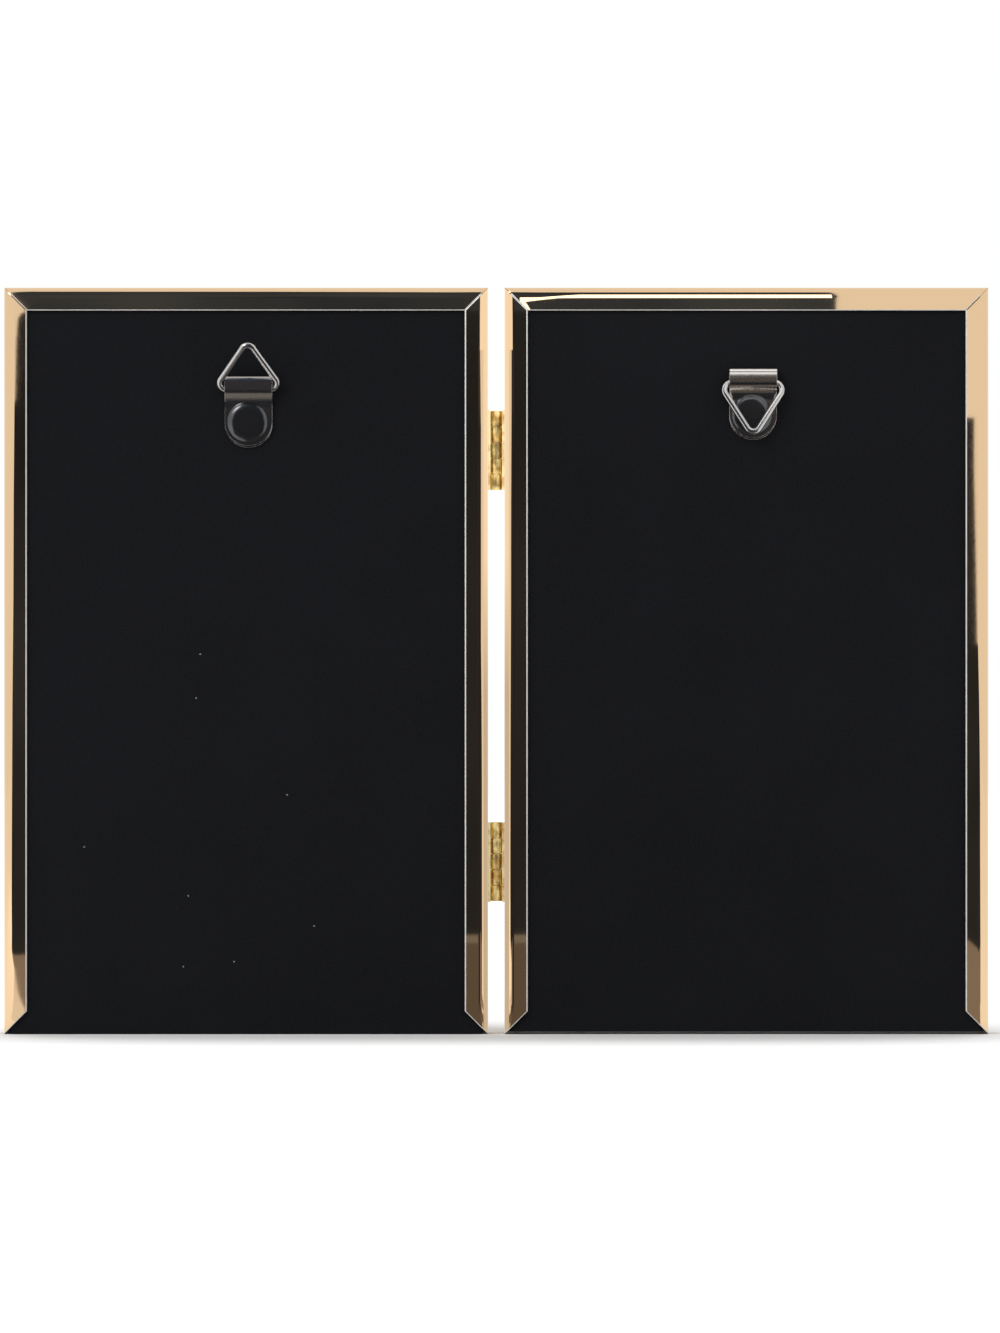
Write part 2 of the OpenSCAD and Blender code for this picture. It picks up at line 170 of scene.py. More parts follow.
def finished_piece(bm, name, body, finishes, replaced=()):
    """Makes the mesh a smooth-shaded piece that rides on a body and stands for CAD nodes."""
    bmesh.ops.recalc_face_normals(bm, faces=bm.faces)
    if bm.calc_volume(signed=True) < 0:
        bmesh.ops.reverse_faces(bm, faces=bm.faces)
    mesh = bpy.data.meshes.new(name)
    bm.to_mesh(mesh)
    bm.free()
    mesh.shade_smooth()
    mesh.set_sharp_from_angle(angle=shading_corner)
    for finish in finishes:
        mesh.materials.append(finish)
    piece = bpy.data.objects.new(name, mesh)
    bpy.context.scene.collection.objects.link(piece)
    flat_faces_stay_flat = piece.modifiers.new("flat_faces_stay_flat", "WEIGHTED_NORMAL")
    flat_faces_stay_flat.weight = 100
    flat_faces_stay_flat.keep_sharp = True
    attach(piece, body)
    if replaced:
        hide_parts(*replaced)
    return piece


def brass_plate():
    """Brass plate, buffed: a warm mirror whose thin sheet waves a little in its reflections."""
    finish, tree, shader, place = new_finish(
        "buffed_brass_plate", Base_Color=linear("#E4C49C"), Metallic=1.0, Roughness=0.04)
    sheet_wave = noise(tree, place, size=22 * mm, detail=1.0)
    buffing = noise(tree, place, size=0.8 * mm, detail=3.0)
    connect(tree, shader, Roughness=level(tree, buffing, low=0.02, high=0.055),
            Normal=relief(tree, sheet_wave, depth=0.003 * mm))
    return finish


def make_steel_and_highlight():
    """The sheet's cut edges, where the steel under the plate shows as a pale satin grey. The same
    pale grey also paints the highlight lines along the lips, the bottom rail's cut end and the
    mitres.
    """
    finish, tree, shader, place = new_finish(
        "steel_edge_and_highlight", Base_Color=linear("#ECE6DE"), Metallic=0.2, Roughness=0.4)
    shearing = noise(tree, place, size=1.5 * mm, detail=4.0)
    connect(tree, shader, Base_Color=between(tree, shearing, "#D5CFC6", "#FBF8F3"))
    return finish


def folded_rail(side, place, corner, along, inward, length, has_flange):
    """One rail: X along it, Y from the flange to the front and Z inwards, then put in place."""
    low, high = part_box(f"{side}_outer_rail")
    wall_d = high.y - low.y
    slope = math.atan(face_drop / face_w)
    apex_y = wall_d + front_fold_r * (math.tan(slope) + 1 / math.cos(slope) - 1)
    wall_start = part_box(f"{side}_photo_insert")[0].y - low.y
    stands = along.z > 0
    rear = [(0, flange_w), (0, 0)] if has_flange else [(wall_start, 0)]
    turns = [*rear, (apex_y, 0), (apex_y - face_drop, face_w)]
    bm = bmesh.new()
    corners = [bm.verts.new((0, y, z)) for y, z in turns]
    draw_out(bm, [bm.edges.new(pair) for pair in zip(corners, corners[1:])], (length, 0, 0))
    front_fold = edges_at(bm, lambda p: near(p.y, apex_y) and near(p.z, 0))
    ease(bm, front_fold, front_fold_r * math.tan(math.pi / 4 + slope / 2), front_fold_steps)
    if has_flange:
        rear_fold = edges_at(bm, lambda p: near(p.y, 0) and near(p.z, 0))
        ease(bm, rear_fold, rear_fold_r, rear_fold_steps)
    bmesh.ops.solidify(bm, geom=bm.faces[:], thickness=-sheet_t)
    if has_flange:
        rear_lip = edges_at(bm, lambda p: near(p.y, 0) and near(p.z, flange_w))
        # The rear lip's rounding is pale bare steel, which also paints the lip's highlight line.
        for face in ease(bm, rear_lip, cut_ease if stands else top_cut_ease, cut_steps):
            face.material_index = highlight_and_bare_slot
    long_lips = [e for e in sharp_edges(bm) if e.calc_length() > length / 2]
    ease(bm, long_lips, lip_ease, lip_steps)
    # The bottom rail's cut end is pale bare steel, which also paints a highlight line under the
    # board.
    for face in bm.faces:
        if not has_flange and face.calc_center_median().y < wall_start + lip_ease:
            face.material_index = highlight_and_bare_slot
    for end, outward in ((0, -1), (length, 1)):
        bmesh.ops.bisect_plane(bm, geom=everything(bm), plane_no=(1, 0, 0),
                               plane_co=(end - outward * mitre_reach, 0, 0))
        bmesh.ops.bisect_plane(bm, geom=everything(bm), plane_no=(outward, 0, 1),
                               plane_co=(end, 0, 0), clear_outer=True)
    bmesh.ops.holes_fill(bm, edges=bm.edges[:], sides=0)
    # Mitre roundings at the flange are pale bare steel, which also paints the mitres' highlight
    # lines. At the foot, the pale steel runs down through the fold.
    for face in ease(bm, sharp_edges(bm), mitre_ease, mitre_steps):
        middle = face.calc_center_median()
        at_foot = stands and middle.x < middle.z + mitre_ease * 2
        highlight_and_bare_depth = rear_fold_r if at_foot else cut_ease
        if has_flange and middle.y < highlight_and_bare_depth and (at_foot or place != "outer"):
            face.material_index = highlight_and_bare_slot
    turned = Matrix((along, (0, 1, 0), inward)).transposed().to_4x4()
    bmesh.ops.transform(bm, verts=bm.verts, matrix=Matrix.Translation(corner) @ turned)
    finished_piece(bm, f"{side}_{place}_moulding", f"{side}_frame",
                   [buffed_brass, steel_and_highlight_finish], [f"{side}_{place}_rail"])


buffed_brass = brass_plate()
steel_and_highlight_finish = make_steel_and_highlight()
for side, low_x_rail, high_x_rail in (("left", "outer", "hinge"), ("right", "hinge", "outer")):
    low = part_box(f"{side}_{low_x_rail}_rail")[0]
    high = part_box(f"{side}_{high_x_rail}_rail")[1]
    width, height = high.x - low.x, high.z - low.z
    foot_right = Vector((high.x, low.y, low.z))
    top_left = Vector((low.x, low.y, high.z))
    across, up = Vector((1, 0, 0)), Vector((0, 0, 1))
    folded_rail(side, low_x_rail, low, up, across, height, has_flange=True)
    folded_rail(side, high_x_rail, foot_right, up, -across, height, has_flange=True)
    folded_rail(side, "top", top_left, across, -up, width, has_flange=True)
    folded_rail(side, "bottom", low, across, up, width, has_flange=False)

# Glass and paper insert. A 2 mm pane with ground edges sits behind the front faces, and a plain
# sheet of matt paper lies behind it where a picture goes. The pane shades nothing, so that light
# gets through it to the paper.
sides = ("left", "right")
ground_edge = 0.3 * mm
ground_steps = 2
paper_edge = 0.05 * mm
paper_steps = 1


def block(low, high):
    """A block from one corner to the other."""
    bm = bmesh.new()
    bmesh.ops.create_cube(bm, size=1)
    bmesh.ops.scale(bm, verts=bm.verts, vec=high - low)
    bmesh.ops.translate(bm, verts=bm.verts, vec=(low + high) / 2)
    return bm


def float_glass():
    """Clear float glass: colourless across the pane and faintly green in its thickness."""
    finish, tree, shader, place = new_finish(
        "float_glass", Base_Color=linear("#F4FAF7"), Roughness=0.0, IOR=1.5,
        Transmission_Weight=1.0)
    film = noise(tree, place, size=35 * mm, detail=2.0)
    connect(tree, shader, Roughness=level(tree, film, low=0.0, high=0.02))
    return finish


def wove_paper():
    """Uncoated wove paper: warm white, with short fibres that show as a soft mottle."""
    finish, tree, shader, place = new_finish(
        "wove_paper", Base_Color=linear("#EFECE4"), Roughness=0.9)
    fibres = noise(tree, place, size=1.2 * mm, detail=6.0)
    connect(tree, shader, Base_Color=between(tree, fibres, "#E9E5DB", "#F4F2EC"),
            Normal=relief(tree, fibres, depth=0.03 * mm, strength=0.4))
    return finish


pane_glass = float_glass()
picture_paper = wove_paper()
for side in sides:
    pane_block = block(*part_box(f"{side}_glass"))
    ease(pane_block, pane_block.edges[:], ground_edge, ground_steps)
    pane = finished_piece(pane_block, f"{side}_glass_pane", f"{side}_frame",
                          [pane_glass], [f"{side}_glass"])
    pane.visible_shadow = False
    pane.visible_diffuse = False
    paper_block = block(*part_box(f"{side}_photo_insert"))
    ease(paper_block, paper_block.edges[:], paper_edge, paper_steps)
    finished_piece(paper_block, f"{side}_paper_sheet", f"{side}_frame",
                   [picture_paper], [f"{side}_photo_insert"])

# Back boards. A 3 mm fibreboard core is wrapped in black flocked paper, which is glued over the
# edges and turned in on the inner side. The board slides up behind the flanges from below, and
# a few specks of lint cling to the left one.
cover_t = 0.3 * mm
cover_turn = 8 * mm
cover_ease = 0.12 * mm
cover_steps = 2
board_edge_r = 1.4 * mm
board_edge_steps = 8
lint_r = 0.16 * mm
lint_shape = (1.5, 0.25, 0.8, 1)
lint_turn = 1.9
lint_spots = [(-64.8, 83.2), (-65.7, 73.6), (-45.8, 52.4), (-90.2, 41), (-67.4, 30.3),
              (-39.9, 23.7), (-68.5, 14.8), (-57.4, 15.9)]


def fibreboard():
    """Fibreboard, pressed: brown, with fine pale and dark wood fibres lying all ways."""
    finish, tree, shader, place = new_finish(
        "pressed_fibreboard", Base_Color=linear("#8A7458"), Roughness=0.85)
    fibres = noise(tree, place, size=0.7 * mm, detail=8.0, roughness=0.7)
    connect(tree, shader, Base_Color=between(tree, fibres, "#6F5A41", "#A58F70"),
            Normal=relief(tree, fibres, depth=0.05 * mm, strength=0.5))
    return finish


def flocked_paper():
    """Flocked paper: short upright fibres swallow the light, so it is a blue-black with a faint
    bloom at a slant. The fibres are drawn coarser than they are, so that they show."""
    finish, tree, shader, place = new_finish(
        "black_flocked_paper", Base_Color=linear("#0E0F12"), Roughness=0.95, Sheen_Weight=0.03,
        Sheen_Roughness=0.5, Sheen_Tint=linear("#AEB4C4"), Specular_IOR_Level=0.15)
    fibres = noise(tree, place, size=0.45 * mm, detail=2.0)
    brushed = noise(tree, place, size=26 * mm, detail=3.0)
    lay = between(tree, brushed, "#0B0C0F", "#131418")
    tips = level(tree, fibres, low=0.0, high=0.6, start=0.35, end=0.75)
    pile = add(tree, "ShaderNodeMix", {7: linear("#1A1B1F")}, {0: tips, 6: lay}, data_type="RGBA")
    connect(tree, shader, Base_Color=pile.outputs[2],
            Normal=relief(tree, fibres, depth=0.06 * mm, strength=0.6))
    return finish


def lint():
    """Pale paper lint that clings to the flock."""
    finish, tree, shader, place = new_finish(
        "pale_lint", Base_Color=linear("#9A9A9E"), Roughness=0.9)
    threads = noise(tree, place, size=0.2 * mm, detail=2.0)
    connect(tree, shader, Base_Color=between(tree, threads, "#6E6F73", "#BDBDC0"))
    return finish


def wrapped_cover(side):
    """The flocked sheet on the rear and the edges, turned in on the inner side."""
    low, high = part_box(f"{side}_board_cover")
    bm = block(low, high)
    inner = [f for f in bm.faces if near(f.calc_center_median().y, high.y)]
    bmesh.ops.inset_region(bm, faces=inner, thickness=cover_turn)
    bmesh.ops.delete(bm, geom=inner, context="FACES")
    rear_rim = edges_at(bm, lambda p: near(p.y, low.y))
    foot = edges_at(bm, lambda p: near(p.z, low.z))
    ease(bm, [e for e in rear_rim if e not in foot], board_edge_r, board_edge_steps)
    ease(bm, sharp_edges(bm), cover_ease, cover_steps)
    bmesh.ops.solidify(bm, geom=bm.faces[:], thickness=cover_t)
    finished_piece(bm, f"{side}_flock_cover", f"{side}_back", [black_flock],
                   [f"{side}_board_cover"])


def lint_specks(side, spots):
    """Tiny flat flecks pressed half into the flock, each turned its own way."""
    face_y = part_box(f"{side}_board_cover")[0].y
    bm = bmesh.new()
    for count, (x, z) in enumerate(spots):
        placed = Matrix.Translation((x * mm, face_y, z * mm))
        turned = Matrix.Rotation(count * lint_turn, 4, "Y")
        bmesh.ops.create_icosphere(bm, subdivisions=1, radius=lint_r,
                                   matrix=placed @ turned @ Matrix.Diagonal(lint_shape))
    finished_piece(bm, f"{side}_lint", f"{side}_back", [pale_lint])


core_board = fibreboard()
black_flock = flocked_paper()
pale_lint = lint()
for side in sides:
    wrapped_cover(side)
    core = frame["nodes"][f"{side}_back_board"]
    core.data.materials.clear()
    core.data.materials.append(core_board)
lint_specks("left", lint_spots)

# Hangers. A nickel-plated steel strip is folded over the ring's wire and back on itself, with
# both ends rounded, and one tubular rivet with a low round-shouldered head holds it to the board.
strap_w = 10.4 * mm
strap_t = 0.5 * mm
strap_len = 15.8 * mm
strap_end_steps = 64
strap_fold_steps = 20
strap_eye_drop = 3.2 * mm
strap_eye_len = 3.5 * mm
strap_ramp_len = 2 * mm
strap_wire_room = 0.25 * mm
strap_step = 0.4 * mm
strap_eye_bend = 0.5 * mm
strap_seat_bend = 1.3 * mm
strap_bend_steps = 10
strap_ease = 0.1 * mm
strap_ease_steps = 3
weld_gap = 0.001 * mm
cut_gap = 1e-7
wire_d = 1.4 * mm
wire_steps = 24
wire_clear = 0.2 * mm
ring_w = 14 * mm
ring_h = 12.4 * mm
ring_corner_r = 1.75 * mm
ring_corner_steps = 20
ring_tip_r = 1.5 * mm
ring_tip_steps = 12
ring_lean = {"left": math.radians(31), "right": math.radians(169.821)}
rivet_head_d = 8.8 * mm
rivet_head_h = 0.8 * mm
rivet_shoulder_w = 1.6 * mm
rivet_shoulder_steps = 12
rivet_rim_t = 0.15 * mm
rivet_rim_ease = 0.05 * mm
rivet_rim_steps = 2
rivet_shank_d = 3 * mm
rivet_hollow_d = 1.8 * mm
rivet_tail_d = 5 * mm
rivet_tail_t = 0.4 * mm
rivet_tail_ease = 0.25 * mm
rivet_tail_steps = 4
rivet_turn_steps = 72
haze_spread = 0.15


def nickel_plate(name, colour, roughness, metallic=1.0):
    """Nickel plate over steel: a grey mirror with a warm cast and fine drawing marks."""
    finish, tree, shader, place = new_finish(
        name, Base_Color=linear(colour), Metallic=metallic, Roughness=roughness)
    marks = noise(tree, place, size=0.8 * mm, detail=2.0)
    dents = noise(tree, place, size=3.5 * mm, detail=2.0)
    haze = level(tree, marks, roughness * (1 - haze_spread), roughness * (1 + haze_spread))
    connect(tree, shader, Roughness=haze, Normal=relief(tree, dents, depth=0.008 * mm))
    return finish


def swing_out(bm, edges, centre, axis, angle, steps):
    """Sweeps edges round an axis and returns the edges at the far end."""
    swept = bmesh.ops.spin(bm, geom=edges, cent=centre, axis=axis, dvec=(0, 0, 0), angle=angle,
                           steps=steps, use_merge=False, use_duplicate=False)
    return only_edges(swept["geom_last"])


def round_end(bm, y, centre_z):
    """Half a disc below centre_z, for a rounded end; returns its straight edge."""
    stood_up = Matrix.Translation((0, y, centre_z)) @ Matrix.Rotation(math.pi / 2, 4, "X")
    disc = bmesh.ops.create_circle(bm, cap_ends=True, radius=strap_w / 2,
                                   segments=strap_end_steps, matrix=stood_up)["verts"]
    faces = list({f for v in disc for f in v.link_faces})
    edges = list({e for f in faces for e in f.edges})
    cut = bmesh.ops.bisect_plane(bm, geom=disc + edges + faces, clear_outer=True, dist=cut_gap,
                                 plane_co=(0, y, centre_z), plane_no=(0, 0, 1))
    return only_edges(cut["geom_cut"])


def folded_strap(side, at_wire):
    """The strip in the board's own frame: the board's face is Y = 0 and the wire Z = 0."""
    fold_r = wire_d / 2 + wire_clear + strap_t
    fold_z = strap_eye_drop - fold_r
    back_end_z = strap_eye_drop - strap_len + strap_w / 2
    ramp_top_z = strap_eye_drop - strap_eye_len - strap_wire_room
    ramp_end_z = ramp_top_z - strap_ramp_len
    bm = bmesh.new()
    front = round_end(bm, 0, back_end_z)
    front = draw_out(bm, front, (0, 0, fold_z - back_end_z))
    front = swing_out(bm, front, (0, -fold_r, fold_z), (1, 0, 0), math.pi, strap_fold_steps)
    front = draw_out(bm, front, (0, 0, ramp_top_z - fold_z))
    front = draw_out(bm, front, (0, 2 * fold_r - 2 * strap_t, ramp_end_z - ramp_top_z))
    draw_out(bm, front, (0, 0, back_end_z + strap_step - ramp_end_z))
    round_end(bm, -2 * strap_t, back_end_z + strap_step)
    bmesh.ops.remove_doubles(bm, verts=bm.verts, dist=weld_gap)
    for bend_z, reach in ((ramp_top_z, strap_eye_bend), (ramp_end_z, strap_seat_bend)):
        bend = edges_at(bm, lambda p: p.y < 0 and near(p.z, bend_z))
        bend = [e for e in bend if len(e.link_faces) == 2 and e.calc_length() > strap_w / 2]
        ease(bm, bend, reach, strap_bend_steps)
    bmesh.ops.recalc_face_normals(bm, faces=bm.faces)
    bmesh.ops.solidify(bm, geom=bm.faces[:], thickness=strap_t)
    bmesh.ops.recalc_face_normals(bm, faces=bm.faces)
    ease(bm, sharp_edges(bm), strap_ease, strap_ease_steps)
    bmesh.ops.translate(bm, verts=bm.verts, vec=at_wire)
    finished_piece(bm, f"{side}_strap", f"{side}_back", [strap_nickel],
                   [f"{side}_hanger_strap"])


def wire_ring(side, swing_at):
    """Half the ring is swept from the middle of its base to its tip, then mirrored."""
    corner_x = (ring_w - wire_d) / 2 - ring_corner_r
    tip_z = ring_h - wire_d - ring_tip_r
    rise = tip_z - ring_corner_r
    span = math.hypot(corner_x, rise)
    lean = math.atan(corner_x / rise) + math.asin((ring_corner_r - ring_tip_r) / span)
    leg = math.sqrt(span ** 2 - (ring_corner_r - ring_tip_r) ** 2)
    bm = bmesh.new()
    bmesh.ops.create_circle(bm, radius=wire_d / 2, segments=wire_steps,
                            matrix=Matrix.Rotation(math.pi / 2, 4, "Y"))
    end = draw_out(bm, bm.edges[:], (corner_x, 0, 0))
    end = swing_out(bm, end, (corner_x, 0, ring_corner_r), (0, -1, 0), math.pi / 2 + lean,
                    ring_corner_steps)
    end = draw_out(bm, end, (-leg * math.sin(lean), 0, leg * math.cos(lean)))
    swing_out(bm, end, (0, 0, tip_z), (0, -1, 0), math.pi / 2 - lean, ring_tip_steps)
    bmesh.ops.mirror(bm, geom=everything(bm), axis="X", merge_dist=weld_gap)
    bmesh.ops.remove_doubles(bm, verts=bm.verts, dist=weld_gap)
    leaned = Matrix.Translation(swing_at) @ Matrix.Rotation(ring_lean[side], 4, "X")
    bmesh.ops.transform(bm, verts=bm.verts, matrix=leaned)
    finished_piece(bm, f"{side}_ring_wire", f"{side}_ring", [wire_nickel],
                   [f"{side}_hanger_ring"])


def tubular_rivet(side, board_y):
    """The rivet's half section turned about its axis, outwards along -Y from the board's face."""
    low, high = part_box(f"{side}_hanger_rivet")
    middle = (low + high) / 2
    front_y = board_y - 2 * strap_t
    crest_y = front_y - rivet_head_h
    rim_y = front_y - rivet_rim_t
    fall = rim_y - crest_y
    shoulder_r = (rivet_shoulder_w ** 2 + fall ** 2) / (2 * fall)
    shoulder_turn = math.asin(rivet_shoulder_w / shoulder_r)
    half = [(0, crest_y)]
    for step in range(rivet_shoulder_steps + 1):
        turn = shoulder_turn * step / rivet_shoulder_steps
        half.append((rivet_head_d / 2 - rivet_shoulder_w + shoulder_r * math.sin(turn),
                     crest_y + shoulder_r * (1 - math.cos(turn))))
    half += [(rivet_head_d / 2, front_y), (rivet_shank_d / 2, front_y),
             (rivet_shank_d / 2, high.y - rivet_tail_t), (rivet_tail_d / 2, high.y - rivet_tail_t),
             (rivet_tail_d / 2, high.y), (rivet_hollow_d / 2, high.y),
             (rivet_hollow_d / 2, front_y), (0, front_y)]
    bm = bmesh.new()
    corners = [bm.verts.new((r, y, 0)) for r, y in half]
    rim = [bm.edges.new(pair) for pair in zip(corners, corners[1:])]
    bmesh.ops.spin(bm, geom=corners + rim, cent=(0, 0, 0), axis=(0, 1, 0), dvec=(0, 0, 0),
                   angle=math.tau, steps=rivet_turn_steps, use_merge=True, use_duplicate=False)
    bmesh.ops.remove_doubles(bm, verts=bm.verts, dist=weld_gap)
    bmesh.ops.recalc_face_normals(bm, faces=bm.faces)
    for radius, y, offset, steps in (
            (rivet_head_d / 2, rim_y, rivet_rim_ease, rivet_rim_steps),
            (rivet_tail_d / 2, high.y, rivet_tail_ease, rivet_tail_steps)):
        circle = edges_at(bm, lambda p: near(math.hypot(p.x, p.z), radius) and near(p.y, y))
        ease(bm, circle, offset, steps)
    bmesh.ops.translate(bm, verts=bm.verts, vec=(middle.x, 0, middle.z))
    finished_piece(bm, f"{side}_rivet", f"{side}_back", [rivet_nickel],
                   [f"{side}_hanger_rivet"])


strap_nickel = nickel_plate("drawn_nickel_strip", "#C9C4BF", roughness=0.12)
wire_nickel = nickel_plate("nickel_wire", "#C2C0BD", roughness=0.22)
rivet_nickel = nickel_plate("pressed_nickel_rivet", "#565759", roughness=0.2, metallic=0.9)
swings = {j["name"]: Vector(j["pos_m"]) for j in frame["joints"] if "swing" in j["name"]}
for side in sides:
    swing_at = swings[f"{side}_ring_swing"]
    board_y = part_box(f"{side}_board_cover")[0].y
    folded_strap(side, Vector((swing_at.x, board_y, swing_at.z)))
    wire_ring(side, swing_at)
    tubular_rivet(side, board_y)

# Hinges. Two small butt hinges of yellow brass join the frames. Each leaf is stamped with its
# knuckles, which are rolled round the pin, and is soldered to the side wall of its own frame.
leaf_t = 0.55 * mm
leaf_w = 6 * mm
leaf_corner_r = 1 * mm
leaf_corner_steps = 6
leaf_ease = 0.08 * mm
leaf_ease_steps = 2
knuckles = 5
knuckle_gap = 0.12 * mm
notch_clear = 0.3 * mm
curl_angle = math.radians(310)
curl_steps = 30
pin_clear = 0.05 * mm
pin_steps = 40
pin_crown = 0.35 * mm
pin_crown_steps = 4


def yellow_brass():
    """Yellow brass, stamped and tumbled: brighter and greener than the plated rails, with a
    soft grain and a little brown tarnish in patches."""
    finish, tree, shader, place = new_finish(
        "tumbled_yellow_brass", Base_Color=linear("#EFD690"), Metallic=1.0, Roughness=0.24)
    tarnish = noise(tree, place, size=2.2 * mm, detail=3.0)
    tumbling = noise(tree, place, size=0.35 * mm, detail=3.0)
    patches = level(tree, tarnish, low=0.0, high=1.0, start=0.45, end=0.7)
    connect(tree, shader, Base_Color=between(tree, patches, "#F6E2A6", "#C79C52"),
            Roughness=level(tree, tumbling, low=0.16, high=0.34),
            Normal=relief(tree, tumbling, depth=0.02 * mm, strength=0.8))
    return finish


def hinge_leaf(height, side, first, mirrored):
    """A left leaf about its pin, with every second knuckle from first; the right is mirrored."""
    pin_low, pin_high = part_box(f"{height}_hinge_pin")
    length = pin_high.z - pin_low.z
    knuckle_r = (pin_high.x - pin_low.x) / 2 + pin_clear + leaf_t
    pitch = length / knuckles
    notch_y = -knuckle_r - notch_clear
    cuts = [0, length]
    for i in range(knuckles):
        cuts += [i * pitch + knuckle_gap / 2, (i + 1) * pitch - knuckle_gap / 2]
    bm = bmesh.new()
    column = [bm.verts.new((-knuckle_r, -leaf_w, z)) for z in sorted(cuts)]
    front = draw_out(bm, [bm.edges.new(pair) for pair in zip(column, column[1:])],
                     (0, leaf_w + notch_y, 0))
    kept = []
    for edge in front:
        middle_z = sum(v.co.z for v in edge.verts) / 2
        if edge.calc_length() > knuckle_gap * 1.5 and int(middle_z / pitch) % 2 == first:
            kept.append(edge)
    kept = draw_out(bm, kept, (0, -notch_y, 0))
    swing_out(bm, kept, (0, 0, 0), (0, 0, -1), curl_angle, curl_steps)
    ends = [v for v in bm.verts if near(v.co.y, -leaf_w) and
            (near(v.co.z, 0) or near(v.co.z, length))]
    ease(bm, ends, leaf_corner_r, leaf_corner_steps, affect="VERTICES")
    bmesh.ops.solidify(bm, geom=bm.faces[:], thickness=-leaf_t)
    bmesh.ops.recalc_face_normals(bm, faces=bm.faces)
    ease(bm, sharp_edges(bm), leaf_ease, leaf_ease_steps, clamp=True)
    if mirrored:
        bmesh.ops.scale(bm, verts=bm.verts, vec=(-1, 1, 1))
    pin_middle = (pin_low + pin_high) / 2
    bmesh.ops.translate(bm, verts=bm.verts, vec=(pin_middle.x, pin_middle.y, pin_low.z))
    finished_piece(bm, f"{height}_{side}_rolled_leaf", f"{side}_frame",
                   [leaf_brass], [f"{height}_hinge_{side}_leaf"])


def peened_pin(height):
    """The pin, with both ends crowned by the hammer."""
    low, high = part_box(f"{height}_hinge_pin")
    radius = (high.x - low.x) / 2
    bm = bmesh.new()
    bmesh.ops.create_cone(bm, cap_ends=True, segments=pin_steps, radius1=radius, radius2=radius,
                          depth=high.z - low.z, matrix=Matrix.Translation((low + high) / 2))
    ease(bm, sharp_edges(bm), pin_crown, pin_crown_steps)
    finished_piece(bm, f"{height}_peened_pin", "left_frame", [leaf_brass],
                   [f"{height}_hinge_pin"])


leaf_brass = yellow_brass()
for height in ("upper", "lower"):
    hinge_leaf(height, "left", first=0, mirrored=False)
    hinge_leaf(height, "right", first=1, mirrored=True)
    peened_pin(height)

# Studio. The frames stand on a white floor in an even white light, and the floor's glow is dimmed
# near them as a painted contact shadow. Dim cards on the camera's side are there only for the
# metal to mirror, as a studio's dark end is: the flat rear flanges show them, and their edges and
# a few small bright panels give the reflections their shapes.
floor_half = 3.0
floor_white = 0.8
floor_glow = 0.42
# How deep and how far the painted contact shadow on the floor reaches.
painted_shadow_darkest_below = 0.7
painted_shadow_reach = 60 * mm
painted_shadow_samples = 16
dome_light = 0.8
card_gap = 130 * mm
card_step = 1 * mm
near_gap = 12 * mm
floor_card_z = 0.2 * mm
cloud_size = 60 * mm
brown_fade = (30 * mm, 110 * mm)
strap_floor_fade = (15 * mm, 115 * mm)
strap_wall_fade = (136 * mm, 144 * mm)
gap_fade = (75 * mm, 105 * mm)
gap_glow = (0.75, 1.2)
gap_card_rise = 0.3 * mm
gap_card_gap = 0.5 * mm
crest_card_gap = 6 * mm
crest_card_foot = 150 * mm
knuckle_card_gap = 0.8 * mm
knuckle_card_inset = 0.55 * mm
knuckle_card_past = 1 * mm
knuckle_spots = 2 * mm
lamp_place = Vector((-0.55, -0.75, 0.8))
lamp_aim = Vector((0, 0, 0.08))
lamp_w = 0.5
lamp_h = 0.4
lamp_watts = 4
photo_width = 218.78 * mm
photo_ratio = 1333 / 1000
photo_centre = Vector((0.82 * mm, 80.5 * mm))
lens_mm = 200
sensor_mm = 36
clip_near = 0.05


def seen_by_metal(obj):
    """Only mirrored rays meet this stage piece: it neither shows, lights nor shades."""
    for way in ("visible_camera", "visible_diffuse", "visible_shadow", "visible_transmission"):
        setattr(obj, way, False)


def glowing(name, strength=1.0):
    """A material that gives off its own light, with its nodes and the light's own node."""
    finish = bpy.data.materials.new(name)
    finish.use_nodes = True
    tree = finish.node_tree
    tree.nodes.clear()
    light = add(tree, "ShaderNodeEmission", {"Color": (1, 1, 1, 1), "Strength": strength})
    add(tree, "ShaderNodeOutputMaterial", links={"Surface": light.outputs["Emission"]})
    return finish, tree, light


def mottled(name, low_hex, high_hex, size, strength=1.0):
    """A glow that wanders between two colours over the given size."""
    finish, tree, light = glowing(name, strength)
    place = add(tree, "ShaderNodeTexCoord").outputs["Object"]
    clouds = noise(tree, place, size, detail=2.0)
    share = level(tree, clouds, low=0.0, high=1.0, start=0.35, end=0.65)
    connect(tree, light, Color=between(tree, share, low_hex, high_hex))
    return finish


def along_axis(tree, axis):
    """The place on the stage along one axis, in metres."""
    place = add(tree, "ShaderNodeTexCoord").outputs["Object"]
    return add(tree, "ShaderNodeSeparateXYZ", links={"Vector": place}).outputs[axis]


def graded(name, axis, ends, low_hex, high_hex):
    """A glow that passes from one colour to another with the distance along an axis from 0."""
    finish, tree, light = glowing(name)
    distance = add(tree, "ShaderNodeMath", links={0: along_axis(tree, axis)},
                   operation="ABSOLUTE").outputs[0]
    start, end = ends
    share = level(tree, distance, low=0.0, high=1.0, start=start, end=end)
    connect(tree, light, Color=between(tree, share, low_hex, high_hex))
    return finish


def stage_card(name, finish, corners):
    bm = bmesh.new()
    bm.faces.new([bm.verts.new(corner) for corner in corners])
    mesh = bpy.data.meshes.new(name)
    bm.to_mesh(mesh)
    bm.free()
    mesh.materials.append(finish)
    card = bpy.data.objects.new(name, mesh)
    bpy.context.scene.collection.objects.link(card)
    seen_by_metal(card)


